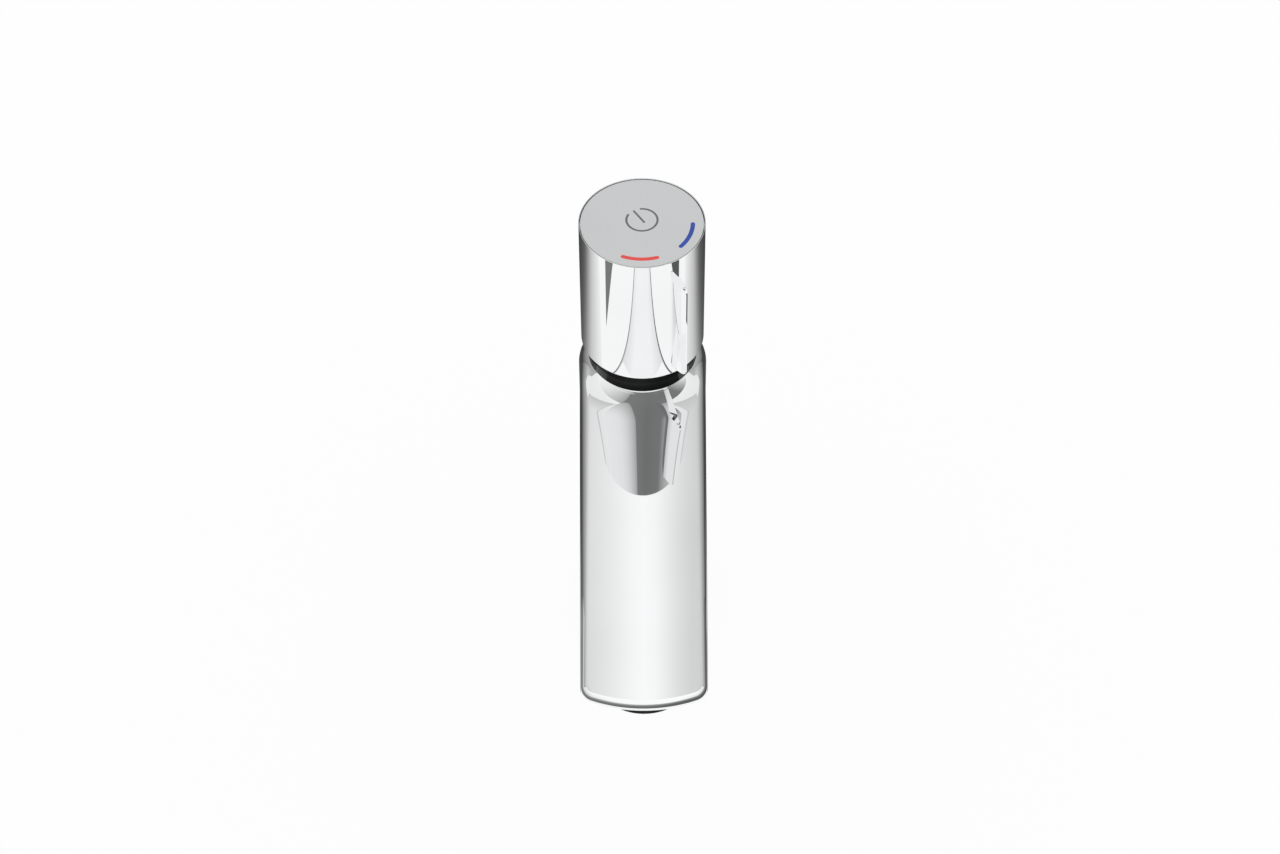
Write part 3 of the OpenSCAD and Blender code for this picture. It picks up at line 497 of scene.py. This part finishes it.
def make_neck_band():
    """The gloss black neck between rim and knob."""
    bm = bmesh.new()
    low, ease = BODY_H - NECK_SEAT, 0.05
    add_lathe(bm, [(NECK_BORE, low), (NECK_R, low), (NECK_R, BODY_H + 0.4),
                   (NECK_R, BEVEL_LOW - ease), (NECK_R - 0.04, BEVEL_LOW + ease),
                   (SLIM_R + ease, BEVEL_HIGH - 0.11), (SLIM_R, BEVEL_HIGH),
                   (SLIM_R, NECK_HIGH - NECK_EDGE), (SLIM_R - NECK_EDGE, NECK_HIGH),
                   (NECK_BORE + NECK_EDGE, NECK_HIGH), (NECK_BORE, NECK_HIGH - NECK_EDGE)],
              steps=160)
    return new_piece("neck_band", bm, "gloss_black", "tap_body", "neck_ring", crease=25)


def make_knob_shell():
    """The chrome wall of the knob, with the bore that the button sinks into."""
    bm = bmesh.new()
    low, high, row = KNOB_LOW, KNOB_HIGH, 2.0
    outline = [(KNOB_BORE, low), (KNOB_R - KNOB_EDGE, low)]
    outline += arc(KNOB_R - KNOB_EDGE, low + KNOB_EDGE, KNOB_EDGE, -90, 0, 6)[1:]
    outline += [(KNOB_R, low + row), (KNOB_R, high - row)]
    outline += arc(KNOB_R - LIP_EDGE, high - LIP_EDGE, LIP_EDGE, 0, 90, 6)
    outline += [(CAP_BORE + 0.14, high - 0.02), (CAP_BORE, high - 0.3), (CAP_BORE, CAP_SEAT),
                (KNOB_BORE, CAP_SEAT), (KNOB_BORE, WEB_HIGH), (WEB_BORE, WEB_HIGH),
                (WEB_BORE, WEB_LOW), (KNOB_BORE, WEB_LOW), (KNOB_BORE, low + 0.3)]
    add_lathe(bm, outline)
    return new_piece("knob_shell", bm, "chrome_brass", "knob", "handle_shell")


def fin_columns():
    """Stations of the fin: radius, half thickness, lowest and highest point."""
    shoulder = math.sqrt(KNOB_R ** 2 - FIN_T ** 2 / 4)
    end = KNOB_R + FIN_REACH
    columns = [(FIN_ROOT, FIN_T / 2, FIN_LOW, FIN_HIGH),
               (shoulder, FIN_T / 2, FIN_LOW, FIN_HIGH)]
    for i in range(FIN_STEPS + 1):
        a = math.pi / 2 * i / FIN_STEPS
        radius = end - FIN_ROUND + FIN_ROUND * math.sin(a)
        share = (radius - shoulder) / (end - shoulder)
        half = FIN_T / 2 + (FIN_EDGE / 2 - FIN_T / 2) * share
        inset = FIN_ROUND * (1 - math.cos(a))
        columns.append((radius, half, FIN_LOW + inset, FIN_HIGH - inset))
    return columns


def make_fin_blade():
    """The fin: a wedge whose outer corners are rounded, eased along all its edges."""
    bm = bmesh.new()
    rows = []
    for radius, half, low, high in fin_columns():
        rows.append([(half, -radius, low), (half, -radius, high),
                     (-half, -radius, high), (-half, -radius, low)])
    made = add_grid(bm, rows, closed=True)
    bm.faces.new(made[0])
    bm.faces.new(made[-1])
    bmesh.ops.recalc_face_normals(bm, faces=bm.faces)
    sharp = [e for e in bm.edges if e.calc_face_angle(0) > math.radians(35)]
    bmesh.ops.bevel(bm, geom=sharp, offset=FIN_EASE, offset_type="OFFSET", segments=3, profile=0.5,
                    affect="EDGES", clamp_overlap=True)
    bmesh.ops.rotate(bm, verts=bm.verts, cent=(0, 0, 0),
                     matrix=Matrix.Rotation(FIN_AZIMUTH, 3, "Z"))
    return new_piece("fin_blade", bm, "chrome_brass", "knob", "temperature_fin", crease=40)


# Studio

def ramp_node(n, stops):
    """A colour ramp of greys: (place, grey) pairs."""
    ramp = n.add("ShaderNodeValToRGB")
    elements = ramp.color_ramp.elements
    elements[0].position = stops[0][0]
    elements[1].position = stops[-1][0]
    for place, _ in stops[1:-1]:
        elements.new(place)
    for element, (_, grey) in zip(elements, stops):
        element.color = (grey, grey, grey, 1)
    return ramp


def card(name, verts, faces, gradients):
    """A studio card that only polished metal sees: it shapes the reflections. Its grey is the
    product of gradients, each (axis, from, to, stops)."""
    mesh = bpy.data.meshes.new(name)
    mesh.from_pydata(verts, [], faces)
    obj = bpy.data.objects.new(name, mesh)
    bpy.context.scene.collection.objects.link(obj)
    n = Nodes(name)
    glow = n.add("ShaderNodeEmission", Strength=1.0)
    place = n.add("ShaderNodeTexCoord")
    split = n.add("ShaderNodeSeparateXYZ")
    n.link(place, "Object", split, "Vector")
    source = None
    for axis, low, high, stops in gradients:
        remap = n.add("ShaderNodeMapRange", From_Min=low, From_Max=high)
        n.link(split, axis, remap, "Value")
        span = high - low
        ramp = ramp_node(n, [((at - low) / span, grey) for at, grey in stops])
        n.link(remap, "Result", ramp, "Fac")
        if source is None:
            source, out = ramp, "Color"
        else:
            product = n.add("ShaderNodeVectorMath")
            product.operation = "MULTIPLY"
            n.link(source, out, product, 0)
            n.link(ramp, "Color", product, 1)
            source, out = product, "Vector"
    n.link(source, out, glow, "Color")
    n.link(glow, "Emission", n.out, "Surface")
    mesh.materials.append(n.material)
    obj.visible_camera = False
    obj.visible_diffuse = False
    obj.visible_shadow = False


def flat_card(name, tiles, z, gradients):
    """A level card of tiles, each (low x, high x, low y, high y)."""
    verts = []
    for x0, x1, y0, y1 in tiles:
        verts += [(x0, y0, z), (x1, y0, z), (x1, y1, z), (x0, y1, z)]
    card(name, verts, [(i, i + 1, i + 2, i + 3) for i in range(0, len(verts), 4)], gradients)


def upright_card(name, x, y, z, gradients):
    """An upright card that faces the tap, from x[0] to x[1] and z[0] to z[1]."""
    card(name, [(x[0], y, z[0]), (x[1], y, z[0]), (x[1], y, z[1]), (x[0], y, z[1])],
         [(0, 1, 2, 3)], gradients)


def make_floor():
    """A pale floor. Camera and polished metal see it mostly as plain white light."""
    size, glow_share = 6.0, 0.9
    mesh = bpy.data.meshes.new("floor")
    mesh.from_pydata([(-size, -size, 0), (size, -size, 0), (size, size, 0), (-size, size, 0)],
                     [], [(0, 1, 2, 3)])
    obj = bpy.data.objects.new("floor", mesh)
    bpy.context.scene.collection.objects.link(obj)
    n = Nodes("floor")
    plain = n.add("ShaderNodeBsdfDiffuse", Color=(0.9, 0.9, 0.9, 1))
    glow = n.add("ShaderNodeEmission", Color=(1, 1, 1, 1), Strength=1.0)
    seen = n.add("ShaderNodeLightPath")
    either = n.add("ShaderNodeMath")
    either.operation = "MAXIMUM"
    n.link(seen, "Is Camera Ray", either, 0)
    n.link(seen, "Is Glossy Ray", either, 1)
    share = n.add("ShaderNodeMath")
    share.operation = "MULTIPLY"
    share.inputs[1].default_value = glow_share
    n.link(either, "Value", share, 0)
    mix = n.add("ShaderNodeMixShader")
    n.link(share, "Value", mix, "Fac")
    n.link(plain, "BSDF", mix, 1)
    n.link(glow, "Emission", mix, 2)
    n.link(mix, "Shader", n.out, "Surface")
    mesh.materials.append(n.material)


def make_world():
    """Even white light from all round."""
    world = bpy.data.worlds.new("studio")
    bpy.context.scene.world = world
    world.use_nodes = True
    background = world.node_tree.nodes["Background"]
    background.inputs["Color"].default_value = (1, 1, 1, 1)
    background.inputs["Strength"].default_value = 1.0


def make_studio():
    """World, floor, and the cards that draw the bright and dark bands on the metal."""
    make_world()
    make_floor()
    # On the ground: the light falls off behind the tap
    flat_card("ground_card", [(-4, 4, -0.03, 4)], 0.0006,
              [("Y", -0.03, 0.17, [(-0.03, 0.92), (0.01, 0.72), (0.032, 0.62), (0.05, 0.5),
                                   (0.069, 0.34), (0.087, 0.21), (0.108, 0.12), (0.13, 0.09),
                                   (0.16, 0.06)])])
    # Dark ground beside the foot of the tap
    flat_card("foot_card", [(-0.11, 0.11, -0.06, 0.07)], 0.001,
              [("X", -0.11, 0.11, [(-0.11, 0.05), (0.0, 0.03), (0.11, 0.06)])])
    # Behind the tap, up to far above it: bright in the middle, falling off to the sides
    # and towards the horizon
    upright_card("back_card", (-6, 6), 1.5, (0.0, 9.0),
                 [("X", -3, 3, [(-2.52, 0.42), (-1.98, 0.46), (-1.2, 0.58), (-0.6, 0.70),
                                (-0.4, 0.80), (-0.29, 0.86), (-0.2, 0.92), (-0.1, 0.985),
                                (0.0, 1.02), (0.1, 0.985), (0.2, 0.88), (0.29, 0.78),
                                (0.4, 0.69), (0.6, 0.65), (1.2, 0.60), (1.98, 0.52),
                                (2.52, 0.46)]),
                  ("Z", 0.0, 3.0, [(0, 0.22), (0.15, 0.28), (1.0, 0.6), (2.07, 0.86),
                                   (2.8, 1.0)])])
    # High up to both sides of it the room is bright again
    for letter, side in (("L", -1), ("R", 1)):
        upright_card("high_card" + letter, (side * 1.2, side * 6), 1.49, (3.4, 9.0),
                     [("Z", 3.4, 9.0, [(3.4, 0.86), (9.0, 0.92)])])
    # Far above and in front: the dark side of the room, lighter to the left
    flat_card("ceiling_card", [(-1.5, 1.5, -2.0, 0.3)], 2.0,
              [("X", -1.5, 1.5, [(-1.5, 0.98), (-1.14, 0.9), (-0.92, 0.85), (-0.71, 0.74),
                                 (-0.45, 0.53), (-0.33, 0.4), (-0.309, 0.21), (0.15, 0.18),
                                 (0.75, 0.2), (1.05, 0.5), (1.35, 0.85), (1.5, 0.98)])])
    # Close over the front of the tip the room is bright
    flat_card("tip_light", [(-0.2, 0.2, -0.36, -0.102)], 0.18,
              [("X", -0.2, 0.2, [(-0.2, 0.6), (-0.09, 0.74), (-0.03, 1.03), (0.03, 1.03),
                                 (0.09, 0.72), (0.2, 0.6)])])
    # In front, where the knob sees the room over the spout: as bright as the ground
    upright_card("front_card", (-2.5, 2.5), -1.5, (0.9, 1.75),
                 [("X", -2.5, 2.5, [(-2.5, 1.07), (2.5, 1.07)])])
    add_round_screen()


def add_round_screen():
    """A round screen in front draws the edge of the tip: dark below, fading upwards."""
    middle, radius, low, high = -0.10, 0.11, 0.062, 0.178
    reach, steps = math.radians(120), 48
    turns = [reach * (2 * i / steps - 1) for i in range(steps + 1)]
    verts = [(radius * math.sin(a), middle - radius * math.cos(a), z)
             for z in (low, high) for a in turns]
    card("round_screen", verts,
         [(i, i + 1, i + 2 + steps, i + 1 + steps) for i in range(steps)],
         [("X", -radius, radius, [(-radius, 1.0), (0.0, 0.8), (0.05, 0.55), (radius, 0.5)]),
          ("Z", low, high, [(low, 0.2), (0.122, 0.21), (0.150, 0.45), (0.172, 0.8),
                            (high, 1.0)])])


def make_camera():
    """The camera of the photograph."""
    camera = bpy.data.cameras.new("camera")
    camera.sensor_fit = "HORIZONTAL"
    camera.sensor_width = SENSOR
    camera.lens = LENS
    camera.clip_start = 0.01
    obj = bpy.data.objects.new("camera", camera)
    obj.location = CAMERA_PLACE
    obj.rotation_euler = [math.radians(turn) for turn in CAMERA_TURN]
    bpy.context.scene.collection.objects.link(obj)
    bpy.context.scene.camera = obj


materials = make_materials()
dress_nodes(materials)
make_body_shell()
make_neck_band()
make_knob_shell()
make_fin_blade()
make_studio()
make_camera()
bpy.context.scene.view_settings.view_transform = "Standard"
